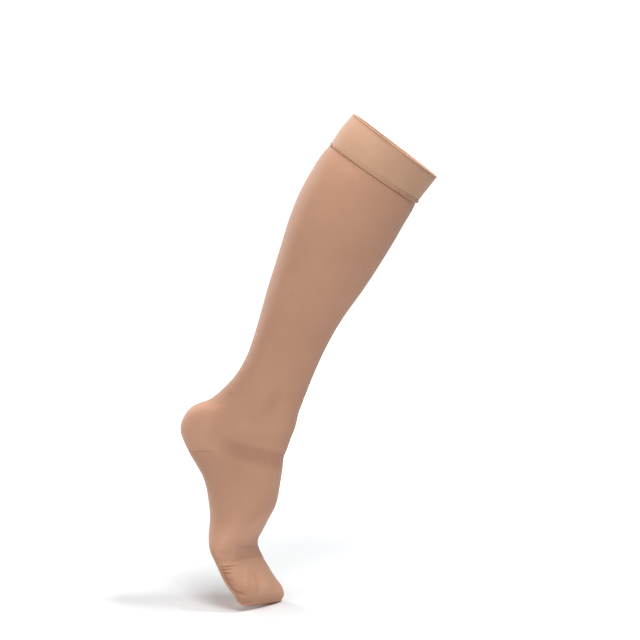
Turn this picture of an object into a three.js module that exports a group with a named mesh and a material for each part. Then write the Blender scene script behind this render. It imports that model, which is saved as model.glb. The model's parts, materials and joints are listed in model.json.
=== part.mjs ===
// Knee-length compression stocking in the pose of a raised heel, hollow and open at the top.
// Millimetres. +X is the way the toes point, +Y the inner side of the leg, +Z up.
// The origin is the middle of the mouth, where the top band grips below the knee.
import * as THREE from 'three';

// Knitted walls
const legWall = 1.2;
const toeWall = 1.4;
const bandWall = 1.2;
const seamGap = 0.4;

// Facets round the garment, and how many of them lie between the middle of the back and each side
// edge of the heel pocket
const around = 44;
const pocketFacets = 8;

// Cross sections from the mouth down to the tip of the toes.
// x, y, z: middle of the section. tilt: how far its front end dips, in degrees.
// depth: back to front. breadth: side to side. turn: how far the front swings outwards, in degrees.
// lead: how far the inner side runs ahead of the outer side, in degrees.
// full: 2 is an ellipse, more is squarer. egg: how much narrower the front is than the back.
// wedge: how much thicker the inner side is than the outer side.
// pocket: from the middle of the back to each side edge of the heel pocket, in degrees.
const columns = ['x', 'y', 'z', 'tilt', 'depth', 'breadth', 'turn', 'lead', 'full', 'egg', 'wedge',
  'pocket'];
const sections = {
  mouth: [0, 0, 0, 37, 114.8, 105.5, 0, 0, 2.05, 0.08, 0, 65],
  midBand: [-13.5, 0, -16.3, 35, 115.8, 106.5, 0, 0, 2.05, 0.08, 0, 65],
  underBand: [-24.9, 0, -32.5, 34, 115.8, 105.5, 0, 0, 2.05, 0.09, 0, 65],
  calfTop: [-30.7, 0, -40.5, 32.6, 119, 107, 0, 0, 2.05, 0.09, 0, 65],
  calfHigh: [-41.6, 0, -57.5, 30.6, 120, 108, 0, 0, 2.05, 0.1, 0, 65],
  calfFull: [-53.5, 0, -79, 28.8, 119.5, 108, 0, 0, 2.05, 0.11, 0, 65],
  calfLow: [-65, 0, -101.5, 26, 116, 105.5, 0, 0, 2.05, 0.11, 0, 65],
  taperA: [-81, 0, -136.5, 24.6, 106, 97, 1, 0, 2.05, 0.1, 0, 65],
  taperB: [-98, 0, -171, 24.2, 93.5, 86, 2, 0, 2.05, 0.09, 0, 65],
  taperC: [-113.5, 0, -206.5, 24, 84, 75, 3.5, 0, 2.05, 0.07, 0, 65],
  shinEnd: [-124.5, 0, -235.5, 22.5, 79, 66, 5.5, 0, 2.1, 0.05, 0, 65],
  ankle: [-133.5, 0, -257.5, 21.5, 78.5, 61, 7.5, 0, 2.15, 0.03, 0, 65],
  overHeel: [-144.5, 1, -278.5, 15.7, 85.5, 61, 10, 0, 2.2, 0, 0, 62],
  pocketTop: [-159, 3, -296, 8, 103, 62.5, 12, 0, 2.25, 0, 0, 56],
  heelHigh: [-172.3, 6, -307, 5.5, 125.5, 63.5, 14, 0, 2.3, 0, 0, 66],
  heelBack: [-179, 7, -323, -0.5, 134, 64, 16, 0, 2.3, 0.02, 0, 73],
  heelLow: [-178.5, 8, -337, -5, 126, 64, 18, 0, 2.3, 0.04, 0, 76],
  pocketEnd: [-177.6, 8, -342.8, -6.5, 121.4, 64, 19.2, 0, 2.3, 0.052, 0, 76],
  instep: [-171.3, 8, -369.5, -14, 98.5, 65, 23, 0, 2.25, 0.1, 0, 70],
  midFoot: [-171, 8, -391, -13.3, 88.5, 67, 25, 0, 2.2, 0.12, 0.02, 65],
  foreFoot: [-172.5, 7, -417.5, -12, 76, 71, 27, 1, 2.2, 0.12, 0.05, 65],
  ballTop: [-179.3, 6, -440, -13, 59, 78, 28, 2, 2.2, 0.1, 0.08, 65],
  ball: [-183, 5, -459.5, -9, 36, 84, 28, 4, 2.25, 0.05, 0.1, 65],
  toeSeam: [-177.5, 4, -474.5, -14, 29, 85, 29, 5, 2.3, 0.02, 0.12, 65],
  toeRoot: [-171, 0.5, -487.5, -23, 28, 83, 31, 6, 2.35, 0, 0.12, 65],
  toeMiddle: [-163.5, -3, -499.5, -27, 28, 79, 34, 7, 2.4, 0, 0.12, 65],
  toePad: [-156, -5, -509.5, -29, 27, 76.5, 36, 7, 2.4, 0, 0.12, 65],
  toeEnd: [-152.5, -6.5, -517.3, -29, 21, 75, 37, 7, 2.4, 0, 0.1, 65],
  toeTip: [-151, -7.5, -522, -28, 11.5, 66, 37, 7, 2.2, 0, 0.05, 65],
};
const tipRise = 1.4; // the middle of the tip stands this far beyond its last ring

// Top band, measured down from the rim: how far its outside stands off the leg's line
const bandProfile = [
  { below: 0, proud: 0.3 },
  { below: 0.7, proud: 1.0 },
  { below: 1.8, proud: 1.15 },
  { below: 2.8, proud: 0.6 },
  { below: 3.8, proud: 0.9 },
  { below: 12, proud: 1.0 },
  { below: 20, proud: 1.0 },
  { below: 28, proud: 1.0 },
  { below: 34.5, proud: 0.9 },
  { below: 35.6, proud: 0.45 },
  { below: 36.8, proud: 1.2 },
  { below: 39, proud: 1.5 },
  { below: 40.6, proud: 1.3 },
];

// Shades of beige: the doubled band and the reinforced toe are the lightest
const colours = {
  band: 0xcda38a, leg: 0xc69a82, foot: 0xc4987f, heel: 0xd0a58c, toe: 0xd4a88c,
};

// Steps along and round the form from which its normals are worked out
const probe = 0.4;
const probeAngle = 0.01;

// Number of rings in each stretch, from one named section to another
const legRings = 18;
const footRings = { aboveHeel: 3, pocket: 9, belowHeel: 11 };
const toeRings = 12;

const names = Object.keys(sections);
const rows = names.map((name) => {
  const row = {};
  columns.forEach((column, k) => { row[column] = sections[name][k]; });
  return row;
});

// A section's own directions: towards its front, towards its inner side and ahead along the garment
function directions({ tilt, turn, lead }) {
  const [t, f, l] = [tilt, turn, lead].map(THREE.MathUtils.degToRad);
  const front = new THREE.Vector3(Math.cos(t) * Math.cos(f), -Math.cos(t) * Math.sin(f), -Math.sin(t));
  const level = new THREE.Vector3(Math.sin(f), Math.cos(f), 0);
  const down = level.clone().cross(front);
  const inner = level.multiplyScalar(Math.cos(l)).addScaledVector(down, Math.sin(l));
  return { front, inner, ahead: inner.clone().cross(front) };
}

// A point of a section's outline; angle 0 is the front, and a quarter turn the inner side
function outlinePoint(section, angle) {
  const c = Math.cos(angle);
  const s = Math.sin(angle);
  const n = section.full;
  const radius = (Math.abs(c) ** n + Math.abs(s) ** n) ** (-1 / n);
  const along = section.depth / 2 * radius * c * (1 + section.wedge * s);
  const across = section.breadth / 2 * radius * s * (1 - section.egg * c);
  const { front, inner } = directions(section);
  return new THREE.Vector3(section.x, section.y, section.z)
    .addScaledVector(front, along)
    .addScaledVector(inner, across);
}

// Stations run down the garment, by the mean length of its back and front edges
const stations = [0];
for (let k = 1; k < rows.length; k += 1) {
  const back = outlinePoint(rows[k], Math.PI).distanceTo(outlinePoint(rows[k - 1], Math.PI));
  const front = outlinePoint(rows[k], 0).distanceTo(outlinePoint(rows[k - 1], 0));
  stations.push(stations[k - 1] + (back + front) / 2);
}
const stationOf = (name) => stations[names.indexOf(name)];
const lastStation = stationOf('toeTip');

// Slope of a column at a row: that of the parabola through the row and its neighbours
function slopeAt(column, k) {
  const before = Math.max(k - 1, 0);
  const after = Math.min(k + 1, rows.length - 1);
  const rise = (i, j) => (rows[j][column] - rows[i][column]) / (stations[j] - stations[i]);
  if (before === k || after === k) return rise(before, after);
  const left = stations[k] - stations[before];
  const right = stations[after] - stations[k];
  return (rise(before, k) * right + rise(k, after) * left) / (left + right);
}
const slopes = rows.map((_, k) => Object.fromEntries(columns.map((c) => [c, slopeAt(c, k)])));

// The section at any station, by a cubic between its two rows
function sectionAt(station) {
  let k = stations.findIndex((s) => s > station) - 1;
  if (k < 0) k = rows.length - 2;
  const length = stations[k + 1] - stations[k];
  const u = (station - stations[k]) / length;
  const start = (1 + 2 * u) * (1 - u) ** 2;
  const end = u * u * (3 - 2 * u);
  const startSlope = u * (1 - u) ** 2 * length;
  const endSlope = u * u * (u - 1) * length;
  return Object.fromEntries(columns.map((c) => [c,
    start * rows[k][c] + end * rows[k + 1][c] + startSlope * slopes[k][c] + endSlope * slopes[k + 1][c]]));
}

// Outward normal of the garment's outer form at a station and an angle
function normalAt(station, angle) {
  const low = Math.max(station - probe, 0);
  const high = Math.min(station + probe, lastStation);
  const down = outlinePoint(sectionAt(high), angle).sub(outlinePoint(sectionAt(low), angle));
  const round = outlinePoint(sectionAt(station), angle + probeAngle)
    .sub(outlinePoint(sectionAt(station), angle - probeAngle));
  return down.cross(round).normalize();
}

// Stations from one to another in even steps, both ends included
function evenly(from, to, count) {
  return Array.from({ length: count + 1 }, (_, k) => from + (to - from) * k / count);
}

// The angle of facet edge j at a station. Edge 0 is the front. The edges keep to the sides of the heel
// pocket, and are spread evenly between them.
function angleAt(j, station) {
  const side = THREE.MathUtils.degToRad(sectionAt(station).pocket);
  const half = around / 2;
  const fromBack = j - half;
  const beyond = Math.abs(fromBack) - pocketFacets;
  const angle = beyond < 0
    ? side * Math.abs(fromBack) / pocketFacets
    : side + (Math.PI - side) * beyond / (half - pocketFacets);
  return Math.PI + Math.sign(fromBack) * angle;
}

// A wall over a grid of stations and angles. Cells that the mask leaves out are holes. Outer points
// stand proud of the form, inner points lie a wall's thickness inside it, and every edge is closed.
function wallGeometry({
  steps, edges = around, closed = true, angle = angleAt, wall, proud = () => 0, keep = () => true, pole,
}) {
  const positions = [];
  const index = [];
  const id = (i, j, inside) => 2 * (i * edges + (j % edges)) + (inside ? 1 : 0);
  for (const [i, station] of steps.entries()) {
    for (let j = 0; j < edges; j += 1) {
      const point = outlinePoint(sectionAt(station), angle(j, station));
      const normal = normalAt(station, angle(j, station));
      positions.push(...point.clone().addScaledVector(normal, proud(i)).toArray());
      positions.push(...point.addScaledVector(normal, -wall).toArray());
    }
  }
  const rings = steps.length - 1;
  const cells = closed ? edges : edges - 1;
  const kept = (i, j) => {
    if (i < 0 || i >= rings) return false;
    if (!closed && (j < 0 || j >= cells)) return false;
    return keep(i, (j + cells) % cells);
  };
  for (let i = 0; i < rings; i += 1) {
    for (let j = 0; j < cells; j += 1) {
      if (!kept(i, j)) continue;
      const corners = [[i, j], [i + 1, j], [i + 1, j + 1], [i, j + 1]];
      const out = corners.map(([a, b]) => id(a, b, false));
      const inn = corners.map(([a, b]) => id(a, b, true));
      index.push(out[0], out[1], out[2], out[0], out[2], out[3]);
      index.push(inn[0], inn[2], inn[1], inn[0], inn[3], inn[2]);
      const beyond = [[i, j - 1], [i + 1, j], [i, j + 1], [i - 1, j]];
      beyond.forEach(([a, b], side) => {
        if (kept(a, b) || (pole && a === rings)) return;
        const next = (side + 1) % 4;
        index.push(out[next], out[side], inn[side], out[next], inn[side], inn[next]);
      });
    }
  }
  if (pole) {
    positions.push(...pole.outer.toArray(), ...pole.inner.toArray());
    const outerPole = positions.length / 3 - 2;
    for (let j = 0; j < cells; j += 1) {
      index.push(id(rings, j, false), outerPole, id(rings, j + 1, false));
      index.push(id(rings, j, true), id(rings, j + 1, true), outerPole + 1);
    }
  }
  const geometry = new THREE.BufferGeometry();
  geometry.setAttribute('position', new THREE.Float32BufferAttribute(positions, 3));
  geometry.setIndex(index);
  geometry.computeVertexNormals();
  return geometry;
}

const knit = (color) => new THREE.MeshStandardMaterial({ color, roughness: 0.85, metalness: 0 });

function piece(name, color, spec) {
  const mesh = new THREE.Mesh(wallGeometry(spec), knit(color));
  mesh.name = name;
  return mesh;
}

const halfGap = seamGap / 2;
const bandEnd = stationOf('underBand');
const ankleSeam = stationOf('overHeel');
const pocketTop = stationOf('pocketTop');
const pocketEnd = stationOf('pocketEnd');
const toeSeam = stationOf('toeSeam');

// Doubled welt with a rolled rim, a stitched groove under it and a hem ridge at its foot
function topBand() {
  const height = bandProfile[bandProfile.length - 1].below;
  const steps = bandProfile.map(({ below }) => below / height * (bandEnd - halfGap));
  return piece('top_band', colours.band, { steps, wall: bandWall, proud: (i) => bandProfile[i].proud });
}

function leg() {
  const steps = evenly(bandEnd + halfGap, ankleSeam - halfGap, legRings);
  return piece('leg', colours.leg, { steps, wall: legWall });
}

// Instep, sides and sole in one tube, with a window behind for the heel pocket
function foot() {
  const { aboveHeel, pocket, belowHeel } = footRings;
  const steps = [
    ...evenly(ankleSeam + halfGap, pocketTop, aboveHeel),
    ...evenly(pocketTop, pocketEnd, pocket).slice(1),
    ...evenly(pocketEnd, toeSeam - halfGap, belowHeel).slice(1),
  ];
  const back = around / 2;
  const inWindow = (i, j) => i >= aboveHeel && i < aboveHeel + pocket
    && j >= back - pocketFacets && j < back + pocketFacets;
  return piece('foot', colours.foot, { steps, wall: legWall, keep: (i, j) => !inWindow(i, j) });
}

// Cup that closes the window, a seam's gap inside its edges
function heelPocket() {
  const angle = (j, station) => {
    const section = sectionAt(station);
    const inset = seamGap / (section.breadth / 2);
    const side = THREE.MathUtils.degToRad(section.pocket) - inset;
    return Math.PI + side * (j / pocketFacets - 1);
  };
  const steps = evenly(pocketTop + seamGap, pocketEnd - seamGap, footRings.pocket);
  return piece('heel_pocket', colours.heel, {
    steps, edges: 2 * pocketFacets + 1, closed: false, angle, wall: legWall,
  });
}

// Reinforced toe, closed at its tip
function toeCap() {
  const steps = evenly(toeSeam + halfGap, lastStation, toeRings);
  const tip = sectionAt(lastStation);
  const { ahead } = directions(tip);
  const outer = new THREE.Vector3(tip.x, tip.y, tip.z).addScaledVector(ahead, tipRise);
  return piece('toe_cap', colours.toe, {
    steps,
    wall: toeWall,
    pole: { outer, inner: outer.clone().addScaledVector(ahead, -toeWall) },
  });
}

const group = new THREE.Group();
group.name = 'compression_stocking';
group.add(topBand(), leg(), foot(), heelPocket(), toeCap());

export default group;
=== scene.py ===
"""A knee-length compression stocking in the pose of a raised heel: worn, hollow and open at the top.

The whole garment follows one formula. A station, in metres down the garment, gives a cross section. An
angle gives a point of its outline, 0 at the front and a quarter turn at the inner side. A lift moves that
point along the outward normal. Each knitted piece is a grid of stations and angles, with a lift of its
own for its outside and its inside.
"""

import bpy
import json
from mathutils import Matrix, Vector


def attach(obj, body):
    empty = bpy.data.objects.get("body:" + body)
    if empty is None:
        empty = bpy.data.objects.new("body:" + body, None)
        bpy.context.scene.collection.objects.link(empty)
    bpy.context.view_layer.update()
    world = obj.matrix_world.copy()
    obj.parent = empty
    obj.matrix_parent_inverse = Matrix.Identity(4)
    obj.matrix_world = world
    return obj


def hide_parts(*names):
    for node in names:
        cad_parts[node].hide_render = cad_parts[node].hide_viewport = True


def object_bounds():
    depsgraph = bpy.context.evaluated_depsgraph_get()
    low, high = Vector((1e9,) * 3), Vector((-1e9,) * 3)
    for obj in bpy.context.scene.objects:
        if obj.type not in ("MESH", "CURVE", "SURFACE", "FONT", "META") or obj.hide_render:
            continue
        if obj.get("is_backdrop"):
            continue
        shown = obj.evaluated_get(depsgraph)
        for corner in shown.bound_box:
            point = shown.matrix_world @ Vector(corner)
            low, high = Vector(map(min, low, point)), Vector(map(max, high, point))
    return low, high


bl_info = {
    "name": "Compression Stocking",
    "version": (1, 0, 0),
    "blender": (4, 5, 0),
    "location": "View3D > Sidebar > Stocking",
    "description": "Knits a worn knee-length compression stocking round its packed frame",
    "category": "Add Mesh",
}

import json
import math

import bmesh
import bpy
import numpy as np
from bpy.props import FloatProperty, FloatVectorProperty, IntProperty, PointerProperty
from mathutils import Vector

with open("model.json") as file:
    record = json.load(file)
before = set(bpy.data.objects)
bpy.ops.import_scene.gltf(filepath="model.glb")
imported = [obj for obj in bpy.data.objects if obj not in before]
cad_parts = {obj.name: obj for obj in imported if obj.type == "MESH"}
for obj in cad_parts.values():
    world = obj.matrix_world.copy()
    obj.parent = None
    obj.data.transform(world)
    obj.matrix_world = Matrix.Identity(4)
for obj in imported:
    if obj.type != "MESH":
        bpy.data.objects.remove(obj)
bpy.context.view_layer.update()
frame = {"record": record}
MM = 0.001

# Cross sections from the mouth down to the tip of the toes, in millimetres and degrees.
# x, y, z: middle of the section. tilt: how far its front end dips. depth: back to front.
# breadth: side to side. turn: how far the front swings outwards. lead: how far the inner side runs ahead
# of the outer side. full: 2 is an ellipse, more is squarer. egg: how much narrower the front is than the
# back. wedge: how much thicker the inner side is. pocket: from the middle of the back to each side edge
# of the heel pocket.
COLUMNS = ("x", "y", "z", "tilt", "depth", "breadth", "turn", "lead", "full", "egg", "wedge", "pocket")
SECTIONS = {
    "mouth": (0, 0, 0, 37, 114.8, 105.5, 0, 0, 2.05, 0.08, 0, 65),
    "mid_band": (-13.5, 0, -16.3, 35, 115.8, 106.5, 0, 0, 2.05, 0.08, 0, 65),
    "under_band": (-24.9, 0, -32.5, 34, 115.8, 105.5, 0, 0, 2.05, 0.09, 0, 65),
    "calf_top": (-30.7, 0, -40.5, 32.6, 119, 107, 0, 0, 2.05, 0.09, 0, 65),
    "calf_high": (-41.6, 0, -57.5, 30.6, 120, 108, 0, 0, 2.05, 0.1, 0, 65),
    "calf_full": (-53.5, 0, -79, 28.8, 119.5, 108, 0, 0, 2.05, 0.11, 0, 65),
    "calf_low": (-65, 0, -101.5, 26, 116, 105.5, 0, 0, 2.05, 0.11, 0, 65),
    "taper_a": (-81, 0, -136.5, 24.6, 106, 97, 1, 0, 2.05, 0.1, 0, 65),
    "taper_b": (-98, 0, -171, 24.2, 93.5, 86, 2, 0, 2.05, 0.09, 0, 65),
    "taper_c": (-113.5, 0, -206.5, 24, 84, 75, 3.5, 0, 2.05, 0.07, 0, 65),
    "shin_end": (-124.5, 0, -235.5, 22.5, 79, 66, 5.5, 0, 2.1, 0.05, 0, 65),
    "ankle": (-133.5, 0, -257.5, 21.5, 78.5, 61, 7.5, 0, 2.15, 0.03, 0, 65),
    "over_heel": (-144.5, 1, -278.5, 15.7, 85.5, 61, 10, 0, 2.2, 0, 0, 62),
    "pocket_top": (-159, 3, -296, 8, 103, 62.5, 12, 0, 2.25, 0, 0, 56),
    "heel_high": (-172.3, 6, -307, 5.5, 125.5, 63.5, 14, 0, 2.3, 0, 0, 66),
    "heel_back": (-179, 7, -323, -0.5, 134, 64, 16, 0, 2.3, 0.02, 0, 73),
    "heel_low": (-178.5, 8, -337, -5, 126, 64, 18, 0, 2.3, 0.04, 0, 76),
    "pocket_end": (-177.6, 8, -342.8, -6.5, 121.4, 64, 19.2, 0, 2.3, 0.052, 0, 76),
    "instep": (-171.3, 8, -369.5, -14, 98.5, 65, 23, 0, 2.25, 0.1, 0, 70),
    "mid_foot": (-171, 8, -391, -13.3, 88.5, 67, 25, 0, 2.2, 0.12, 0.02, 65),
    "fore_foot": (-172.5, 7, -417.5, -12, 76, 71, 27, 1, 2.2, 0.12, 0.05, 65),
    "ball_top": (-179.3, 6, -440, -13, 59, 78, 28, 2, 2.2, 0.1, 0.08, 65),
    "ball": (-183, 5, -459.5, -9, 36, 84, 28, 4, 2.25, 0.05, 0.1, 65),
    "toe_seam": (-177.5, 4, -474.5, -14, 29, 85, 29, 5, 2.3, 0.02, 0.12, 65),
    "toe_root": (-171, 0.5, -487.5, -23, 28, 83, 31, 6, 2.35, 0, 0.12, 65),
    "toe_middle": (-163.5, -3, -499.5, -27, 28, 79, 34, 7, 2.4, 0, 0.12, 65),
    "toe_pad": (-156, -5, -509.5, -29, 27, 76.5, 36, 7, 2.4, 0, 0.12, 65),
    "toe_end": (-152.5, -6.5, -517.3, -29, 21, 75, 37, 7, 2.4, 0, 0.1, 65),
    "toe_tip": (-151, -7.5, -522, -28, 11.5, 66, 37, 7, 2.2, 0, 0.05, 65),
}
LENGTHS = ("x", "y", "z", "depth", "breadth")
TURNS = ("tilt", "turn", "lead", "pocket")
POCKET_SHARE = 4 / 11  # of each half round, behind, lies in the heel pocket's width

# Steps along and round the form from which its normals are worked out
PROBE = 0.4 * MM
PROBE_ANGLE = 0.01

# Creases that the knit takes where the foot bends and the toe cap is drawn in. Each runs from one point to
# another, as a named section, a distance past it in millimetres and an angle in degrees.
# width and depth, in millimetres: a trough has a positive depth, a ridge a negative one.
# bow: how far its middle strays down the garment, in millimetres.
CREASE_COLUMNS = ("start", "past", "angle", "end", "end_past", "end_angle", "width", "depth", "bow")
TOE_CREASES = (
    ("toe_seam", 3.4, -94, "toe_seam", 7.0, -36, 1.4, 1.50, 0.6),
    ("toe_seam", 7.0, -92, "toe_seam", 10.6, -44, 1.3, 1.40, 0.9),
    ("toe_seam", 10.8, -90, "toe_root", 0.8, -52, 1.5, 1.30, 1.3),
    ("toe_root", 3.4, -90, "toe_root", 10.5, -58, 1.8, 1.20, 2.0),
    ("toe_root", 9.5, -96, "toe_middle", 4.0, -66, 1.7, 0.80, 1.0),
    ("toe_middle", 7.0, -88, "toe_pad", 6.0, -44, 2.4, 1.30, 1.0),
    ("toe_seam", 8.0, -89, "toe_end", 5.0, -84, 3.2, 1.50, 0.8),
    ("toe_seam", 8.0, -14, "toe_pad", 1.0, -44, 3.4, -1.50, 0.8),
    ("toe_root", 6.0, 14, "toe_end", 4.0, -12, 3.0, -1.30, 0.6),
    ("toe_root", 3.0, -2, "toe_end", 2.0, -28, 2.8, 1.10, 0.6),
    ("toe_root", 8.0, 32, "toe_end", 2.0, 10, 3.4, 0.60, 0.8),
    ("toe_seam", 3.0, 100, "toe_seam", 5.6, 50, 1.4, 1.30, 0.8),
    ("toe_seam", 7.6, 104, "toe_seam", 11.0, 58, 1.3, 1.20, 1.0),
    ("toe_root", 0.8, 100, "toe_root", 5.0, 70, 1.7, 1.10, 1.4),
    ("toe_root", 9.0, 98, "toe_middle", 3.0, 62, 1.9, 0.80, 1.2),
    ("toe_middle", 6.0, 104, "toe_pad", 6.0, 60, 2.2, 0.90, 1.0),
    ("toe_seam", 4.0, -172, "toe_seam", 5.5, -122, 1.7, 0.90, 0.8),
    ("toe_seam", 9.0, 166, "toe_seam", 7.0, 120, 1.7, 0.90, 1.0),
    ("toe_root", 2.0, -168, "toe_root", 4.0, -126, 1.9, 0.80, 1.2),
    ("toe_root", 8.0, 172, "toe_root", 6.0, 128, 1.9, 0.70, 1.2),
    ("toe_middle", 4.0, -176, "toe_middle", 7.0, -132, 2.2, 0.60, 1.0),
)
FOOT_CREASES = (
    ("ball", 4.6, 64, "ball_top", 20.5, -32, 2.6, 0.45, 0.8),
    ("ball", -4.0, 66, "ball_top", 12.0, 4, 3.0, 0.30, 0.6),
    ("ball", 10.0, 58, "ball", 5.0, 14, 2.4, 0.25, 0.6),
    ("ball", 2.0, -76, "ball", 5.2, -42, 4.0, 0.50, 0.6),
    ("ball", 10.0, -100, "ball", 14.0, -52, 2.0, 0.40, 0.8),
    ("heel_back", 9.4, -98, "instep", 3.0, 16, 12.5, 1.70, 7.5),
    ("heel_back", 11.0, 102, "instep", 3.0, -6, 11.5, 1.10, 6.5),
    ("heel_high", 14.0, -86, "heel_back", 5.0, -60, 12.0, -1.10, 0.0),
    ("heel_high", 15.0, 88, "heel_back", 7.0, 62, 11.0, -0.90, 0.0),
    ("pocket_top", 6.0, -60, "ankle", 14.0, -74, 8.0, 0.70, 2.0),
    ("pocket_top", 7.0, 62, "ankle", 16.0, 76, 8.0, 0.60, 2.0),
    ("over_heel", 6.0, -168, "over_heel", 10.0, -116, 4.0, 0.40, 2.0),
    ("over_heel", 14.0, 172, "over_heel", 9.0, 122, 4.4, 0.40, 2.0),
    ("ankle", 16.0, -34, "ankle", 20.0, 30, 5.0, 0.35, 1.5),
    ("instep", 12.0, -174, "instep", 16.0, -128, 5.0, 0.35, 2.0),
    ("mid_foot", 2.0, 168, "mid_foot", 8.0, 124, 5.0, 0.35, 2.0),
    ("fore_foot", 8.0, 176, "fore_foot", 13.0, 130, 4.5, 0.35, 1.5),
    ("ball", 6.0, 178, "ball", 9.0, 124, 2.4, 0.45, 1.0),
    ("ball", 1.0, -176, "ball", 4.0, -128, 2.4, 0.40, 1.0),
)

BAND_COLUMNS = 260  # points round the top band
FOOT_COLUMNS = 220  # points round the leg and the foot
TOE_COLUMNS = 240  # points round the toe cap
CLOSING_ROWS = 10  # that draw the toe cap in to its closing line
BESIDE_POCKET = (0.0006, 0.0018)  # shares of a round past the pocket's sides, where the foot has more columns
OVERCAST_LOOPS = 44  # of thread along the closing line
THREAD_SIDES = 6  # of a thread's cross section
ASKEW = (0.31, 0.87, 0.38)  # a direction in which no thread runs
BALL_HIGHLIGHT = 7  # painted highlight over the ball of the foot, added to the stretch mask so that the knit there is drawn palest
SHADED_EDGE = math.radians(-90)  # the outer edge of the toe cap, drawn darker with painted shade

# Factors on a yarn's red, green and blue
HEEL_TINT = (1.16, 1.13, 1.15)
TOE_TINT = (1.0, 0.96, 0.96)
# Paler where the knit is stretched, and a painted highlight over the ball of the foot
STRETCH_AND_HIGHLIGHT_TINT = (1.3, 1.3, 1.3)
# Painted shade in the gaps between the knitted loops
GAP_SHADE_TINT = (0.55, 0.42, 0.36)
# Dark seams and joins, and painted shade in hollows, grooves and along shaded edges
SEAM_AND_SHADE_TINT = (0.5, 0.33, 0.27)
# Darker hem thread: partly its own colour, partly painted shade where it dips into the hem
HEM_THREAD_AND_SHADE_TINT = (0.62, 0.48, 0.42)
# Paler, oranger toe thread: partly its own colour, partly a painted highlight along the tip's lower rim
TOE_THREAD_AND_HIGHLIGHT_TINT = (1.3, 1.05, 0.85)
MOTTLE_TINTS = ((0.84, 0.81, 0.78, 1), (1.14, 1.11, 1.07, 1))

# The camera looks along +Y and a little down
CAMERA_TARGET = Vector((-84.6, 0.0, -197.4)) * MM
CAMERA_DISTANCE = 2.6
CAMERA_DIP = math.radians(7)
FRAME_WIDTH = 723.2 * MM  # of the view at the target
SENSOR = 36.0
SHADOW_MIDDLE = (-0.2, 0.0, -0.523)  # on the floor, beside the toes

# Softboxes round the middle of the garment: name, place from it, width and the setting with the power
GARMENT_MIDDLE = Vector((-0.1, 0.0, -0.26))
SOFTBOXES = (
    ("High_Right", (0.8, -0.1, 2.0), 0.4, "right"),
    ("High_Front", (0.2, -1.2, 1.7), 0.8, "front"),
    ("Overhead", (-0.1, -0.3, 2.0), 0.8, "top"),
    ("Key", (-1.2, -1.2, 1.4), 0.9, "key"),
    ("Rim", (-1.2, 1.15, 0.5), 0.6, "rim"),
    ("Edge", (0.65, 1.4, 0.6), 0.4, "edge"),
)


def section_rows():
    """The table as an array, with lengths in metres and angles in radians."""
    rows = np.array(list(SECTIONS.values()), float)
    return rows * [MM if c in LENGTHS else math.radians(1) if c in TURNS else 1 for c in COLUMNS]


def directions(section):
    """Unit vectors of a section: its front dips by tilt and swings outwards by turn, and its inner side
    leans down the garment by lead. Ahead is the cross product of inner and front."""
    tilt, turn, lead = (section[..., COLUMNS.index(c)] for c in ("tilt", "turn", "lead"))
    front = np.stack([np.cos(tilt) * np.cos(turn), -np.cos(tilt) * np.sin(turn), -np.sin(tilt)], -1)
    level = np.stack([np.sin(turn), np.cos(turn), np.zeros_like(turn)], -1)
    inner = level * np.cos(lead)[..., None] + np.cross(level, front) * np.sin(lead)[..., None]
    return front, inner, np.cross(inner, front)


def outline(section, angle):
    """A superellipse: radius = (|cos|^n + |sin|^n)^(-1/n). Along the front direction it is half the depth
    times radius times cos, thicker by wedge on the inner side. Along the inner direction it is half the
    breadth times radius times sin, narrower by egg at the front."""
    x, y, z, _, depth, breadth, _, _, full, egg, wedge, _ = np.moveaxis(section, -1, 0)
    c, s = np.cos(angle), np.sin(angle)
    radius = (np.abs(c) ** full + np.abs(s) ** full) ** (-1 / full)
    along = depth / 2 * radius * c * (1 + wedge * s)
    across = breadth / 2 * radius * s * (1 - egg * c)
    front, inner, _ = directions(section)
    return np.stack([x, y, z], -1) + front * along[..., None] + inner * across[..., None]


def row_stations(rows):
    """Each row's station: the running sum of the mean step along the front and the back edges."""
    edges = (outline(rows, np.full(len(rows), a)) for a in (0.0, math.pi))
    steps = [np.linalg.norm(np.diff(edge, axis=0), axis=1) for edge in edges]
    return np.concatenate([[0], np.cumsum((steps[0] + steps[1]) / 2)])


def row_slopes(rows, stations):
    """Each column's slope at each row: that of the parabola through the row and its neighbours."""
    gaps = np.diff(stations)[:, None]
    rises = np.diff(rows, axis=0) / gaps
    middle = (rises[:-1] * gaps[1:] + rises[1:] * gaps[:-1]) / (gaps[:-1] + gaps[1:])
    return np.concatenate([rises[:1], middle, rises[-1:]])


ROWS = section_rows()
STATIONS = row_stations(ROWS)
SLOPES = row_slopes(ROWS, STATIONS)


def station(name, past=0.0):
    """Station of a named section, or of a place so far past it, in metres."""
    return STATIONS[list(SECTIONS).index(name)] + past


def section_at(stations):
    """The section at each station, by a cubic with the rows' values and slopes at both its ends."""
    k = np.clip(np.searchsorted(STATIONS, stations, side="right") - 1, 0, len(ROWS) - 2)
    length = (STATIONS[k + 1] - STATIONS[k])[..., None]
    u = (stations - STATIONS[k])[..., None] / length
    return ((1 + 2 * u) * (1 - u) ** 2 * ROWS[k] + u * u * (3 - 2 * u) * ROWS[k + 1]
            + u * (1 - u) ** 2 * length * SLOPES[k] + u * u * (u - 1) * length * SLOPES[k + 1])


def normals(stations, angles):
    """Outward normals: the direction down the garment crossed with the direction round it."""
    down = (outline(section_at(np.minimum(stations + PROBE, STATIONS[-1])), angles)
            - outline(section_at(np.maximum(stations - PROBE, 0)), angles))
    here = section_at(stations)
    normal = np.cross(down, outline(here, angles + PROBE_ANGLE) - outline(here, angles - PROBE_ANGLE))
    return normal / np.linalg.norm(normal, axis=-1, keepdims=True)


def form(stations, angles, lift):
    """Points of the garment's form, moved by lift along the outward normals."""
    return outline(section_at(stations), angles) + normals(stations, angles) * lift[..., None]


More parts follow.
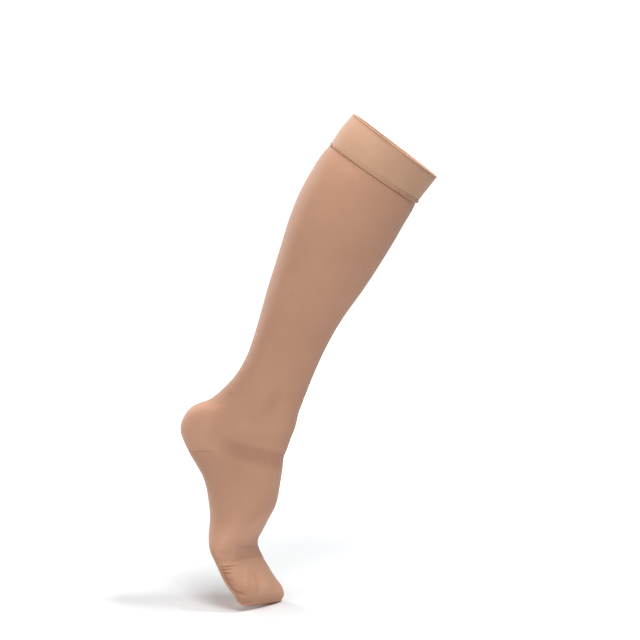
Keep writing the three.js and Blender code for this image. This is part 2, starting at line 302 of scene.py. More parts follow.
def round_angles(stations, shares):
    """Angles of shares 0 to 1 of a round, from the front. The shares are spread evenly over the heel
    pocket's width behind, and evenly over the rest."""
    side = section_at(stations)[..., COLUMNS.index("pocket")]
    from_back = 2 * shares - 1
    beyond = (np.abs(from_back) - POCKET_SHARE) / (1 - POCKET_SHARE)
    inside = side * np.abs(from_back) / POCKET_SHARE
    return math.pi + np.sign(from_back) * np.where(beyond < 0, inside, side + (math.pi - side) * beyond)


def radius_at(stations):
    """Mean radius of the sections: a quarter of depth and breadth together."""
    section = section_at(stations)
    return (section[..., COLUMNS.index("depth")] + section[..., COLUMNS.index("breadth")]) / 4


def spaced(*stretches):
    """Stations along several stretches, each given as from, to and the widest step between them."""
    runs = [np.linspace(a, b, max(2, math.ceil((b - a) / step) + 1)) for a, b, step in stretches]
    return np.concatenate([runs[0]] + [run[1:] for run in runs[1:]])


def as_grid(values, columns):
    """Each value repeated over a row of columns."""
    return np.broadcast_to(values[:, None], (len(values), columns))


def edge_drop(distance, radius):
    """How far a surface falls towards a rounded edge: a quarter circle of the radius, 0 beyond it."""
    near = np.clip(1 - distance / radius, 0, 1)
    return radius * (1 - np.sqrt(1 - near ** 2))


def bump(distance, width):
    """A bell: e to the power of minus the square of distance over width."""
    return np.exp(-(distance / width) ** 2)


def frontness(angles):
    """1 at the front, a half at the sides and 0 behind: (1 + cos angle) / 2."""
    return (1 + np.cos(angles)) / 2


def unevenness(stations, angles, height):
    """A slow waviness: three sine waves of unlike length and slant, up to height together."""
    waves = (np.sin(stations / (9 * MM) + 3 * angles), np.sin(stations / (15 * MM) - 2 * angles + 1),
             np.sin(stations / (23 * MM) + 5 * angles + 2))
    return height / 3 * sum(waves)


def creases(stations, angles, table):
    """Lift of all the creases in a table. Each is a soft trough across its own bowed line, with a lip on
    either side: minus depth times (1 - 0.6 d^2) e^(-d^2), where d is the distance from the line in
    widths. It fades in and out along the line as the square root of a sine."""
    lift = np.zeros(np.broadcast(stations, angles).shape)
    for row in table:
        crease = dict(zip(CREASE_COLUMNS, row))
        start = station(crease["start"], crease["past"] * MM)
        end = station(crease["end"], crease["end_past"] * MM)
        first, last = math.radians(crease["angle"]), math.radians(crease["end_angle"])
        radius = radius_at(np.array((start + end) / 2))
        run = np.array([end - start, (last - first) * radius])
        turn = (angles - first + math.pi) % math.tau - math.pi
        along, across = stations - start, turn * radius
        length = np.hypot(*run)
        share = (along * run[0] + across * run[1]) / length ** 2
        side = (along * run[1] - across * run[0]) / length * np.sign(run[1])
        bowed = crease["bow"] * MM * (1 - (2 * np.clip(share, 0, 1) - 1) ** 2)
        d2 = ((side - bowed) / (crease["width"] * MM)) ** 2
        fade = np.sqrt(np.sin(math.pi * np.clip(share, 0, 1)))
        lift -= crease["depth"] * MM * (1 - 0.6 * d2) * np.exp(-d2) * fade
    return lift


def hollows(folds, shade):
    """Shade of the creases' hollows: up to shade where they are 1 mm deep."""
    return shade * np.clip(-folds / MM, 0, 1)


def pocket_distance(stations, angles):
    """Distance from the heel pocket's edge, negative inside it: that of a box whose sides are the
    pocket's ends along the garment and its side edges round it."""
    middle = (station("pocket_top") + station("pocket_end")) / 2
    half = (station("pocket_end") - station("pocket_top")) / 2
    side = section_at(stations)[..., COLUMNS.index("pocket")]
    along = np.abs(stations - middle) - half
    around = (np.abs((angles % math.tau) - math.pi) - side) * radius_at(stations)
    outside = np.hypot(np.maximum(along, 0), np.maximum(around, 0))
    return outside + np.minimum(np.maximum(along, around), 0)


def pocket_join(stations, angles):
    """How plainly the heel pocket's join shows, 0 to 1: a little all round, most along its lower edge."""
    low = np.clip(1 - np.abs(stations - station("pocket_end")) / (3 * MM), 0, 1)
    behind = np.clip((1.45 - np.abs(angles % math.tau - math.pi)) / 0.5, 0, 1)
    return bump(pocket_distance(stations, angles), 0.9 * MM) * (0.02 + 0.8 * low * behind)


def heel_share(stations, angles):
    """How much of the yarn is the heel's: 1 / (1 + e^d), where d is the distance from the edge over 3 mm."""
    return 1 / (1 + np.exp(np.clip(pocket_distance(stations, angles) / (3 * MM), -30, 30)))


def put_in_scene(name, data):
    """Makes an object of a mesh, a light or a camera, and links it to the scene."""
    made = bpy.data.objects.new(name, data)
    bpy.context.scene.collection.objects.link(made)
    return made


def wall_mesh(name, outer, inner, uv, masks, keep=None, closed=True, shut_end=False):
    """A closed wall between two grids of points, rows down the garment by columns round it. Cells that
    keep leaves out are holes, and every open edge between the two grids is bridged by quads, but for the
    last row where each grid shuts by itself."""
    rows, columns = outer.shape[:2]
    wide = columns if closed else columns - 1
    keep = np.ones((rows - 1, wide), bool) if keep is None else keep
    padded = np.pad(keep, 1)
    if closed:
        padded[:, 0], padded[:, -1] = padded[:, -2], padded[:, 1]
    padded[-1] = shut_end
    i, j = np.nonzero(keep)
    corner_rows = np.stack([i, i + 1, i + 1, i], 1)
    corner_columns = np.stack([j, j, j + 1, j + 1], 1)
    outer_ids = corner_rows * columns + corner_columns % columns
    inner_ids = outer_ids + rows * columns
    uv_ids = corner_rows * uv.shape[1] + corner_columns
    quads, quad_uvs = [outer_ids, inner_ids[:, ::-1]], [uv_ids, uv_ids[:, ::-1]]
    beyond = ((0, -1), (1, 0), (0, 1), (-1, 0))
    for side, (di, dj) in enumerate(beyond):
        open_edge = ~padded[i + 1 + di, j + 1 + dj]
        a, b = side, (side + 1) % 4
        bridge = np.stack([outer_ids[:, b], outer_ids[:, a], inner_ids[:, a], inner_ids[:, b]], 1)
        quads.append(bridge[open_edge])
        quad_uvs.append(uv_ids[:, [b, a, a, b]][open_edge])
    points = np.concatenate([outer.reshape(-1, 3), inner.reshape(-1, 3)])
    corner_uvs = uv.reshape(-1, 2)[np.concatenate(quad_uvs)]
    spread = {key: np.broadcast_to(value, (rows, columns)).ravel() for key, value in masks.items()}
    doubled = {key: np.tile(value, 2) for key, value in spread.items()}
    return put_mesh(name, points, np.concatenate(quads), corner_uvs, doubled)


def put_mesh(name, points, quads, corner_uvs, masks):
    """Makes a smooth mesh object of the used points, with its stitch map and its point masks."""
    used, quads = np.unique(quads, return_inverse=True)
    quads = quads.reshape(-1, 4)
    mesh = bpy.data.meshes.new(name)
    mesh.from_pydata(points[used], [], quads)
    mesh.polygons.foreach_set("use_smooth", np.ones(len(quads), bool))
    mesh.uv_layers.new(name="Stitches").data.foreach_set("uv", corner_uvs.astype(np.float32).ravel())
    for key, value in masks.items():
        mesh.attributes.new(key, "FLOAT", "POINT").data.foreach_set("value", value[used].astype(np.float32))
    mesh.validate()
    mesh.update()
    return put_in_scene(name, mesh)


def stitch_map(stations, shares, knit):
    """Coordinates counted in stitches: needles round the garment, and courses down it."""
    needle = np.broadcast_to(shares * knit.needles, (len(stations), len(shares)))
    course = np.broadcast_to(stations[:, None] / knit.course, needle.shape)
    return np.stack([needle, course], -1)


def stretch_at(stations, knit):
    """How far the knit is stretched round, as a share of the most: girth over the relaxed girth."""
    girth = math.tau * radius_at(stations)
    return np.clip((girth / knit.relaxed_girth - 1) / (knit.full_stretch - 1), 0, 1)


def add_node(tree, kind, inputs=None, **settings):
    """Adds a shader node, sets it, and links or sets its inputs by name or number."""
    node = tree.nodes.new(kind)
    for key, value in settings.items():
        setattr(node, key, value)
    for key, value in (inputs or {}).items():
        if isinstance(value, bpy.types.NodeSocket):
            tree.links.new(value, node.inputs[key])
        else:
            node.inputs[key].default_value = value
    return node


def calculate(tree, operation, *values, clamp=False):
    """Output of a Math node."""
    node = add_node(tree, "ShaderNodeMath", dict(enumerate(values)), operation=operation, use_clamp=clamp)
    return node.outputs[0]


def blend_colours(tree, factor, first, second, kind="MIX"):
    """Output of a Mix node between two colours."""
    node = add_node(tree, "ShaderNodeMix", data_type="RGBA", blend_type=kind)
    for index, value in ((0, factor), (6, first), (7, second)):
        if isinstance(value, bpy.types.NodeSocket):
            tree.links.new(value, node.inputs[index])
        else:
            node.inputs[index].default_value = value
    return node.outputs[2]


def new_group(name, inputs, outputs):
    """A shader node group with named float or vector sockets, its input node and its output node."""
    tree = bpy.data.node_groups.new(name, "ShaderNodeTree")
    for title, kind, default in inputs:
        socket = tree.interface.new_socket(title, in_out="INPUT", socket_type=kind)
        if default is not None:
            socket.default_value = default
    for title in outputs:
        tree.interface.new_socket(title, in_out="OUTPUT", socket_type="NodeSocketFloat")
    return tree, tree.nodes.new("NodeGroupInput"), tree.nodes.new("NodeGroupOutput")


def loops_group():
    """Plain knit, in stitch coordinates. Each wale is two yarn legs, a parabola across each of them, and
    each leg is a row of slanted lobes, a sine along it whose phase runs on with the distance from the
    middle of the wale."""
    tree, start, end = new_group(
        "Knitted_Loops",
        [("Stitches", "NodeSocketVector", None), ("Slant", "NodeSocketFloat", 1.6)],
        ["Height", "Gap"],
    )
    parts = add_node(tree, "ShaderNodeSeparateXYZ", {0: start.outputs["Stitches"]})
    across = calculate(tree, "SUBTRACT", calculate(tree, "FRACT", parts.outputs["X"]), 0.5)
    across = calculate(tree, "ABSOLUTE", across)
    from_leg = calculate(tree, "MULTIPLY", calculate(tree, "SUBTRACT", across, 0.25), 4.0)
    leg = calculate(tree, "SUBTRACT", 1.0, calculate(tree, "MULTIPLY", from_leg, from_leg))
    phase = calculate(tree, "SUBTRACT", parts.outputs["Y"],
                      calculate(tree, "MULTIPLY", across, start.outputs["Slant"]))
    lobe = calculate(tree, "SINE", calculate(tree, "MULTIPLY", calculate(tree, "FRACT", phase), math.pi))
    height = calculate(tree, "MULTIPLY", leg, calculate(tree, "MULTIPLY_ADD", lobe, 0.45, 0.55))
    tree.links.new(height, end.inputs["Height"])
    # The gap, where the yarn lies lowest, carries painted shade between the loops
    gap = calculate(tree, "POWER", calculate(tree, "SUBTRACT", 1.0, height, clamp=True), 3.0)
    tree.links.new(gap, end.inputs["Gap"])
    return tree


def mottle_group():
    """Uneven dye and lie of the yarn: a coarse and a fine noise, weighted together about one half."""
    tree, start, end = new_group(
        "Yarn_Mottle",
        [("Position", "NodeSocketVector", None), ("Coarse", "NodeSocketFloat", 22.0),
         ("Fine", "NodeSocketFloat", 420.0)],
        ["Value"],
    )
    noises = [
        add_node(tree, "ShaderNodeTexNoise",
                 {"Vector": start.outputs["Position"], "Scale": start.outputs[title], "Detail": 3.0})
        for title in ("Coarse", "Fine")
    ]
    mixed = add_node(tree, "ShaderNodeMix", {0: 0.35, 2: noises[0].outputs[0], 3: noises[1].outputs[0]},
                     data_type="FLOAT")
    tree.links.new(mixed.outputs[0], end.inputs["Value"])
    return tree


def node_group(name, build):
    """The named group, built the first time that it is asked for."""
    return bpy.data.node_groups.get(name) or build()


def shade_of(colour, tint=(1, 1, 1)):
    """A colour times a factor for each of red, green and blue, opaque."""
    return (*(min(1.0, c * f) for c, f in zip(colour, tint)), 1.0)


def new_material(name):
    """A material, its node tree and its Principled surface."""
    material = bpy.data.materials.new(name)
    material.use_nodes = True
    tree = material.node_tree
    return material, tree, tree.nodes["Principled BSDF"]


def add_mottle(tree):
    """The mottle group's node, on the piece's own coordinates."""
    place = add_node(tree, "ShaderNodeTexCoord")
    return add_node(tree, "ShaderNodeGroup", {"Position": place.outputs["Object"]},
                    node_tree=node_group("Yarn_Mottle", mottle_group))


def mask(tree, name):
    """Value of a point mask of the mesh."""
    return add_node(tree, "ShaderNodeAttribute", attribute_name=name).outputs["Fac"]


def knit_material(name, colour, knit, relief=1.0, heel=None):
    """Fine elastic knit: loops raised by bump with painted shade in their gaps, mottled yarn, paler where it
    is stretched and under a painted highlight over the ball of the foot, darker in its seams and with painted
    shade in its hollows, grooves and shaded edges, with a soft sheen."""
    material, tree, surface = new_material(name)
    stitches = add_node(tree, "ShaderNodeUVMap", uv_map="Stitches")
    loops = add_node(tree, "ShaderNodeGroup", node_tree=node_group("Knitted_Loops", loops_group))
    tree.links.new(stitches.outputs["UV"], loops.inputs["Stitches"])
    mottle = add_mottle(tree).outputs["Value"]
    base = shade_of(colour)
    if heel is not None:
        base = blend_colours(tree, mask(tree, "heel"), base, shade_of(heel, HEEL_TINT))
    yarn = blend_colours(tree, 1.0, base, blend_colours(tree, mottle, *MOTTLE_TINTS), "MULTIPLY")
    for value, strength, tint in (
        # The stretch mask also carries the painted highlight over the ball of the foot
        (mask(tree, "stretch"), knit.stretch_and_highlight_paling, STRETCH_AND_HIGHLIGHT_TINT),
        (loops.outputs["Gap"], knit.gap_shade, GAP_SHADE_TINT),
        (mask(tree, "seam"), knit.seam_shade, SEAM_AND_SHADE_TINT),
    ):
        share = calculate(tree, "MULTIPLY", value, strength)
        yarn = blend_colours(tree, share, yarn, shade_of(colour, tint))
    tree.links.new(yarn, surface.inputs["Base Color"])
    rough = add_node(tree, "ShaderNodeMapRange", {"Value": mottle, "To Min": 0.66, "To Max": 0.82})
    tree.links.new(rough.outputs["Result"], surface.inputs["Roughness"])
    raised = add_node(tree, "ShaderNodeBump", {"Strength": 0.35 * relief, "Distance": knit.loop_height,
                                               "Height": loops.outputs["Height"]})
    tree.links.new(raised.outputs["Normal"], surface.inputs["Normal"])
    surface.inputs["Specular IOR Level"].default_value = 0.3
    surface.inputs["Sheen Weight"].default_value = 0.3
    surface.inputs["Sheen Roughness"].default_value = 0.4
    surface.inputs["Sheen Tint"].default_value = (1.0, 0.9, 0.84, 1.0)
    return material


def dress(piece, material, slot, *nodes):
    """Gives a piece its material and its body, and hides the solids that it stands for. The slot is not used.
    """
    piece.data.materials.append(material)
    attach(piece, "root")
    if nodes:
        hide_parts(*nodes)


def slot_colour(slot):
    """Base colour that the record gives a material slot."""
    found = {m["slot"]: m["base_color"] for m in frame["record"]["materials"]}
    return tuple(found[slot][:3])


def yarn_property(title, slot):
    description = f"Colour of the yarn: {title.lower()}"
    return FloatVectorProperty(name=title, description=description, subtype="COLOR", size=3, min=0, max=1,
                               default=slot_colour(slot))


def length_property(title, description, default):
    return FloatProperty(name=title, description=description, default=default, min=0, unit="LENGTH",
                         precision=5)


def number_property(title, description, default):
    return FloatProperty(name=title, description=description, default=default, min=0)


def power_property(title, place, default):
    return number_property(title, f"Power of the softbox {place}", default)


class StockingKnit(bpy.types.PropertyGroup):
    """The yarn and the stitches."""

    needles: IntProperty(name="Needles", description="Stitches in each round", default=400, min=80)
    course: length_property("Course", "Height of one course of stitches", 0.55 * MM)
    loop_height: length_property("Loop height", "How far the yarn stands off its gaps", 0.12 * MM)
    relaxed_girth: length_property("Relaxed girth", "Narrowest girth of the tube before it is worn", 0.16)
    full_stretch: number_property("Full stretch", "Worn girth over its relaxed girth", 1.3)
    long_stretch: number_property("Long stretch", "Worn length over relaxed length", 1.05)
    # Also scales the painted highlight over the ball of the foot
    stretch_and_highlight_paling: number_property("Paling", "Paler yarn where the knit is stretched", 0.1)
    gap_shade: number_property("Gap shade", "Darkness of the gaps between loops", 0.35)
    seam_shade: number_property("Seam shade", "Darkness of the seams, hollows and rubbed edges", 0.5)
    band_yarn: yarn_property("Top band", "band_knit")
    leg_yarn: yarn_property("Leg and foot", "leg_knit")
    heel_yarn: yarn_property("Heel pocket", "heel_knit")
    toe_yarn: yarn_property("Toe cap", "toe_knit")


class StockingShape(bpy.types.PropertyGroup):
    """Sizes of the walls, edges and seams."""

    wall: length_property("Wall", "Thickness of the leg, foot and heel", 1.2 * MM)
    toe_wall: length_property("Toe wall", "Thickness of the toe cap", 1.4 * MM)
    welt: length_property("Welt", "How far the doubled top band stands off the leg's line", 1.05 * MM)
    hem_front: length_property("Hem in front", "Height of the hem ridge at the front", 5.0 * MM)
    hem_back: length_property("Hem behind", "Height of the hem ridge at the back", 3.0 * MM)
    hem_lift: length_property("Hem lift", "How far the hem ridges stand off the band", 0.45 * MM)
    groove: length_property("Groove", "Depth of the stitched lines", 0.45 * MM)
    seam_gap: length_property("Seam gap", "Gap between the pieces at their seams", 0.15 * MM)
    toe_proud: length_property("Toe cap lift", "How far the toe cap's edge stands off the foot", 0.25 * MM)
    tip_rise: length_property("Tip rise", "How far the closing line lies beyond the last section", 1.4 * MM)
    thread: length_property("Thread", "Thickness of the sewing thread", 0.65 * MM)
    stitch: length_property("Stitch", "Length of one zigzag stitch", 3.0 * MM)


class StockingStudio(bpy.types.PropertyGroup):
    """Floor and lights."""

    floor_size: length_property("Floor", "Width of the floor", 60.0)
    far_glow: number_property("Far glow", "Glow of the floor far off", 1.05)
    sky: number_property("Sky", "Strength of the light from all round", 0.02)
    right: power_property("High right", "high at the right", 28.0)
    front: power_property("High front", "high in front", 26.0)
    top: power_property("Overhead", "straight above", 8.0)
    key: power_property("Key", "at the camera's left", 6.5)
    rim: power_property("Rim", "behind at the left", 17.0)
    edge: power_property("Edge", "behind at the right", 4.0)


def settings():
    scene = bpy.context.scene
    return scene.stocking_knit, scene.stocking_shape, scene.stocking_studio


def band_height(angles, shape):
    """Height of the hem ridge, from that behind to that in front."""
    return shape.hem_back + (shape.hem_front - shape.hem_back) * frontness(angles)


def welt_lift(from_end, angles, shape):
    """How far the top band stands off the leg's line: the welt, less 0.4 mm at its foot behind."""
    return shape.welt - 0.4 * MM * bump(from_end, 4 * MM) * (1 - frontness(angles))


class STOCKING_OT_top_band(bpy.types.Operator):
    """Knits the doubled top band, with its rolled rim, stitched line and hem ridge"""

    bl_idname = "stocking.top_band"
    bl_label = "Top band"

    def execute(self, context):
        knit, shape, _ = settings()
        end = station("under_band") - shape.seam_gap
        roll = (shape.welt + shape.wall) / 2
        stations = spaced((0, 0.2 * MM, 0.04 * MM), (0.2 * MM, roll, 0.12 * MM), (roll, 4.5 * MM, 0.28 * MM),
                          (4.5 * MM, 33 * MM, 1.4 * MM), (33 * MM, end - 0.4 * MM, 0.22 * MM),
                          (end - 0.4 * MM, end, 0.08 * MM))
        shares = np.arange(BAND_COLUMNS + 1) / BAND_COLUMNS
        rows = as_grid(stations, BAND_COLUMNS)
        angles = round_angles(rows, shares[:-1])
        hem_top = end - band_height(angles, shape)
        within = (rows - hem_top) / (end - hem_top)
        ahead = 0.15 + 0.85 * frontness(angles) ** 0.7
        settled = np.clip((rows - roll) / roll, 0, 1)
        rim_lines = bump(rows - 2.1 * MM, 0.4 * MM) + 0.3 * bump(rows - 4.2 * MM, 0.5 * MM)
        hem_line = ahead * bump(rows - hem_top, 0.5 * MM)
        raised = 0.45 * ahead * np.clip(within * 6, 0, 1) * (within > 0) + 0.55 * bump(within - 0.84, 0.16)
        rolled = 0.3 * MM * bump(rows - 0.9 * MM, 0.6 * MM)
        lift = (welt_lift(end - rows, angles, shape) - shape.groove * (rim_lines + hem_line)
                + shape.hem_lift * raised + rolled
                + settled * unevenness(rows, angles, 0.25 * MM))
        # Painted shade in the stitched grooves of rim and hem, and a painted shadow along the band's lower
        # edge, strongest in front
        shade = 0.9 * rim_lines + 0.9 * hem_line + 0.6 * ahead * bump(end - rows, 0.5 * MM)
        edges = edge_drop(rows, roll) + edge_drop(end - rows, 0.45 * MM)
        inside = -shape.wall + edge_drop(rows, roll) + edge_drop(end - rows, 0.3 * MM)
        outer, inner = form(rows, angles, lift - edges), form(rows, angles, inside)
        # The seam mask here holds only painted shade
        masks = {"stretch": stretch_at(rows, knit), "seam": np.clip(shade, 0, 1)}
        piece = wall_mesh("top_band_knit", outer, inner, stitch_map(stations, shares, knit), masks)
        dress(piece, knit_material("Band_Knit", knit.band_yarn, knit), "band_knit", "top_band")
        return {"FINISHED"}


class STOCKING_OT_leg_and_foot(bpy.types.Operator):
    """Knits the leg and the foot in one tube, with a window behind for the heel pocket"""

    bl_idname = "stocking.leg_and_foot"
    bl_label = "Leg and foot"

    def execute(self, context):
        knit, shape, _ = settings()
        start, end = station("under_band") + shape.seam_gap, station("toe_seam") - 0.3 * shape.seam_gap
        top, bottom = station("pocket_top"), station("pocket_end")
        stations = spaced((start, start + 3 * MM, 0.5 * MM), (start + 3 * MM, station("over_heel"), 4.6 * MM),
                          (station("over_heel"), top - 1.5 * MM, 2 * MM), (top - 1.5 * MM, top, 0.3 * MM),
                          (top, bottom, 2 * MM), (bottom, bottom + 1.5 * MM, 0.3 * MM),
                          (bottom + 1.5 * MM, station("ball_top"), 2.4 * MM),
                          (station("ball_top"), end - 1.5 * MM, 1.1 * MM), (end - 1.5 * MM, end, 0.2 * MM))
        even = np.arange(FOOT_COLUMNS + 1) / FOOT_COLUMNS
        beside_pocket = POCKET_SHARE / 2 + np.array(BESIDE_POCKET)
        shares = np.sort(np.concatenate([even, 0.5 - beside_pocket, 0.5 + beside_pocket]))
        rows = as_grid(stations, len(shares) - 1)
        angles = round_angles(rows, shares[:-1])
        tuck = 0.5 * MM * bump(rows - start, 1.6 * MM) * frontness(angles)
        join = pocket_join(rows, angles)
        folds = creases(rows, angles, FOOT_CREASES)
        lift = unevenness(rows, angles, 0.3 * MM) + folds - tuck - shape.groove * join
        drop = edge_drop(end - rows, 0.12 * MM)
        middle_share = np.abs(shares[:-1] + shares[1:] - 1)
        middle_row = (stations[:-1] + stations[1:]) / 2
        window = ((middle_row > top) & (middle_row < bottom))[:, None] & (middle_share < POCKET_SHARE)
        outer, inner = form(rows, angles, lift - drop), form(rows, angles, lift - shape.wall)
        # Painted shadow under the top band's hem: a dark line on the leg's first millimetre, strongest in
        # front
        hem_shadow = bump(rows - start, 1.0 * MM) * (0.15 + 0.75 * frontness(angles))
        # Painted highlight over the ball of the foot, strongest at its front where the light falls, carried
        # in the stretch mask
        ball_highlight = BALL_HIGHLIGHT * bump(rows - station("ball_top", 8 * MM), 20 * MM) * frontness(angles + 0.5)
        # The seam mask holds the pocket's join, the painted shadow under the hem and painted shade in the
        # creases' hollows
        masks = {"stretch": stretch_at(rows, knit) + ball_highlight, "heel": heel_share(rows, angles),
                 "seam": np.clip(0.6 * join + hem_shadow + hollows(folds, 0.5), 0, 1)}
        piece = wall_mesh("leg_foot_knit", outer, inner, stitch_map(stations, shares, knit), masks, ~window)
        material = knit_material("Leg_Knit", knit.leg_yarn, knit, heel=knit.heel_yarn)
        dress(piece, material, "leg_knit", "leg", "foot")
        return {"FINISHED"}


class STOCKING_OT_heel_pocket(bpy.types.Operator):
    """Knits the turned heel pocket into the foot's window"""

    bl_idname = "stocking.heel_pocket"
    bl_label = "Heel pocket"

    def execute(self, context):
        knit, shape, _ = settings()
        gap = 0.1 * shape.seam_gap
        top, bottom = station("pocket_top") + gap, station("pocket_end") - gap
        edge = 1.5 * MM
        stations = spaced((top, top + edge, 0.2 * MM), (top + edge, bottom - edge, 1 * MM),
                          (bottom - edge, bottom, 0.2 * MM))
        side_steps = spaced((-1, -0.96, 0.006), (-0.96, 0.96, 0.018), (0.96, 1, 0.006))
        rows = as_grid(stations, len(side_steps))
        side = section_at(rows)[..., COLUMNS.index("pocket")] - gap / radius_at(rows)
        angles = math.pi + side * side_steps
        join = pocket_join(rows, angles)
        folds = creases(rows, angles, FOOT_CREASES)
        lift = unevenness(rows, angles, 0.3 * MM) + folds - shape.groove * join
        outer = form(rows, angles, lift)
        inner = form(rows, angles, lift - shape.wall)
        shares = (1 + POCKET_SHARE * side_steps) / 2
        # The seam mask holds the pocket's join and painted shade in the creases' hollows
        masks = {"stretch": stretch_at(rows, knit), "heel": heel_share(rows, angles),
                 "seam": np.clip(0.6 * join + hollows(folds, 0.5), 0, 1)}
        stitches = stitch_map(stations, shares, knit)
        piece = wall_mesh("heel_pocket_knit", outer, inner, stitches, masks, closed=False)
        material = knit_material("Heel_Knit", knit.leg_yarn, knit, heel=knit.heel_yarn)
        dress(piece, material, "heel_knit", "heel_pocket")
        return {"FINISHED"}


class STOCKING_OT_toe_cap(bpy.types.Operator):
    """Knits the reinforced toe cap, drawn in to a closing line across its tip"""

    bl_idname = "stocking.toe_cap"
    bl_label = "Toe cap"

    def execute(self, context):
        knit, shape, _ = settings()
        start, end = station("toe_seam") + 0.3 * shape.seam_gap, STATIONS[-1]
        stations = spaced((start, start + 1.2 * MM, 0.2 * MM), (start + 1.2 * MM, end, 0.6 * MM))
        shares = np.arange(TOE_COLUMNS + 1) / TOE_COLUMNS
        rows = as_grid(stations, TOE_COLUMNS)
        angles = np.broadcast_to(shares[:-1] * math.tau, rows.shape)
        near_end = np.clip((end - rows) / (6 * MM), 0, 1)
        folds = creases(rows, angles, TOE_CREASES) * near_end
        lift = (shape.toe_proud * bump(rows - start, 2.2 * MM) + folds
                + near_end * unevenness(rows, angles, 0.25 * MM))
        outer = form(rows, angles, lift - edge_drop(rows - start, 0.2 * MM))
        inner = form(rows, angles, lift * near_end - shape.toe_wall)
        outer = np.concatenate([outer, closing_rows(outer[-1], 0, shape)])
        inner = np.concatenate([inner, closing_rows(inner[-1], shape.toe_wall, shape)])
        stations = np.concatenate([stations, end + np.arange(1, CLOSING_ROWS + 1) * 0.5 * MM])
        brim_line = 0.06 * bump(rows - start, 0.4 * MM)
        near_line = 0.4 * bump(rows - end, 3 * MM)
        # Painted shade along the toe cap's outer edge, where it turns from the light, widening towards the
        # tip
        from_edge = (angles - SHADED_EDGE + math.pi) % math.tau - math.pi
        down = np.clip((rows - station("toe_seam", 3 * MM)) / (35 * MM), 0, 1)
        shaded = 0.75 * np.clip(down * 6, 0, 1) * bump(from_edge - 0.4 * down, 0.28 + 0.2 * down)
        # The seam mask adds the darkening at the brim and near the closing line to the painted shade of the
        # outer edge and of the creases' hollows
        shade = np.clip(brim_line + near_line + shaded + hollows(folds, 0.3), 0, 1)
        seam = np.concatenate([shade, np.full((CLOSING_ROWS, TOE_COLUMNS), 0.2)])
        masks = {"stretch": 0.35, "seam": seam}
        stitches = stitch_map(stations, shares, knit)
        piece = wall_mesh("toe_cap_knit", outer, inner, stitches, masks, shut_end=True)
        close_tip(piece)
        material = knit_material("Toe_Knit", shade_of(knit.toe_yarn, TOE_TINT), knit, relief=1.2)
        dress(piece, material, "toe_knit", "toe_cap")
        return {"FINISHED"}


def tip_frame():
    """Middle of the last section, with its front, inner and ahead directions."""
    section = section_at(np.array([STATIONS[-1]]))
    front, inner, ahead = (v[0] for v in directions(section))
    return section[0, :3], front, inner, ahead


def closing_rows(ring, depth, shape):
    """Rows that draw the last ring in to a line across the tip: the part of each point along the front
    direction shrinks as a cosine, while the point moves ahead as a sine, up to the tip's rise. In the last
    row each point meets the one across from it."""
    middle, front, _, ahead = tip_frame()
    turn = (np.arange(1, CLOSING_ROWS + 1) / CLOSING_ROWS * math.pi / 2)[:, None, None]
    along = ((ring - middle) @ front)[:, None] * front
    rows = ring - along * (1 - np.cos(turn)) + ahead * (shape.tip_rise - depth) * np.sin(turn)
    across = (len(ring) // 2 - np.arange(len(ring))) % len(ring)
    rows[-1] = (rows[-1] + rows[-1, across]) / 2
    return rows


def close_tip(piece):
    """Joins the two halves of each closing line, whose points lie on each other."""
    mesh = bmesh.new()
    mesh.from_mesh(piece.data)
    bmesh.ops.remove_doubles(mesh, verts=mesh.verts, dist=0.001 * MM)
    mesh.to_mesh(piece.data)
    mesh.free()


def thread_mesh(name, path, radius, closed):
    """A round thread along a path of points: a ring of points about each, square to the path, with flat
    ends where it is open."""
    first, last = (path[-1:], path[:1]) if closed else (path[:1], path[-1:])
    padded = np.concatenate([first, path, last])
    tangent = padded[2:] - padded[:-2]
    side = np.cross(tangent, ASKEW)
    side /= np.linalg.norm(side, axis=1, keepdims=True)
    up = np.cross(side, tangent)
    up /= np.linalg.norm(up, axis=1, keepdims=True)
    count, ring = len(path), np.arange(THREAD_SIDES)
    turn = (ring / THREAD_SIDES * math.tau)[None, :, None]
    points = path[:, None] + radius * (side[:, None] * np.cos(turn) + up[:, None] * np.sin(turn))
    here = as_grid(np.arange(count if closed else count - 1) * THREAD_SIDES, THREAD_SIDES)
    ahead, beside = (here + THREAD_SIDES) % (count * THREAD_SIDES), (ring + 1) % THREAD_SIDES
    faces = np.stack([here + ring, ahead + ring, ahead + beside, here + beside], -1).reshape(-1, 4).tolist()
    if not closed:
        faces += [ring.tolist(), (count * THREAD_SIDES - 1 - ring).tolist()]
    mesh = bpy.data.meshes.new(name)
    mesh.from_pydata(points.reshape(-1, 3), [], faces)
    mesh.polygons.foreach_set("use_smooth", np.ones(len(faces), bool))
    mesh.update()
    return put_in_scene(name, mesh)


def thread_material(name, colour):
    """Matt twisted thread: fine noise across its colour, with a soft sheen."""
    material, tree, surface = new_material(name)
    mottle = add_mottle(tree)
    mottle.inputs["Fine"].default_value = 2400.0
    dark, pale = (shade_of(colour, (f, f, f)) for f in (0.8, 1.1))
    yarn = blend_colours(tree, mottle.outputs["Value"], dark, pale)
    tree.links.new(yarn, surface.inputs["Base Color"])
    surface.inputs["Roughness"].default_value = 0.8
    surface.inputs["Specular IOR Level"].default_value = 0.25
    surface.inputs["Sheen Weight"].default_value = 0.3
    return material


def hem_path(shape):
    """The zigzag on the hem ridge, in eight steps a stitch: a triangle wave down the garment."""
    end = station("under_band") - shape.seam_gap
    girth = math.tau * float(radius_at(np.array(end)))
    stitches = 2 * round(girth / shape.stitch / 2)
    turns = np.arange(stitches * 8) / 8
    angles = turns / stitches * math.tau
    swing = 4 * np.abs((turns / 2) % 1 - 0.5) - 1
    rows = end - band_height(angles, shape) * (0.48 - 0.26 * swing)
    return form(rows, angles, welt_lift(end - rows, angles, shape) + 0.12 * MM)


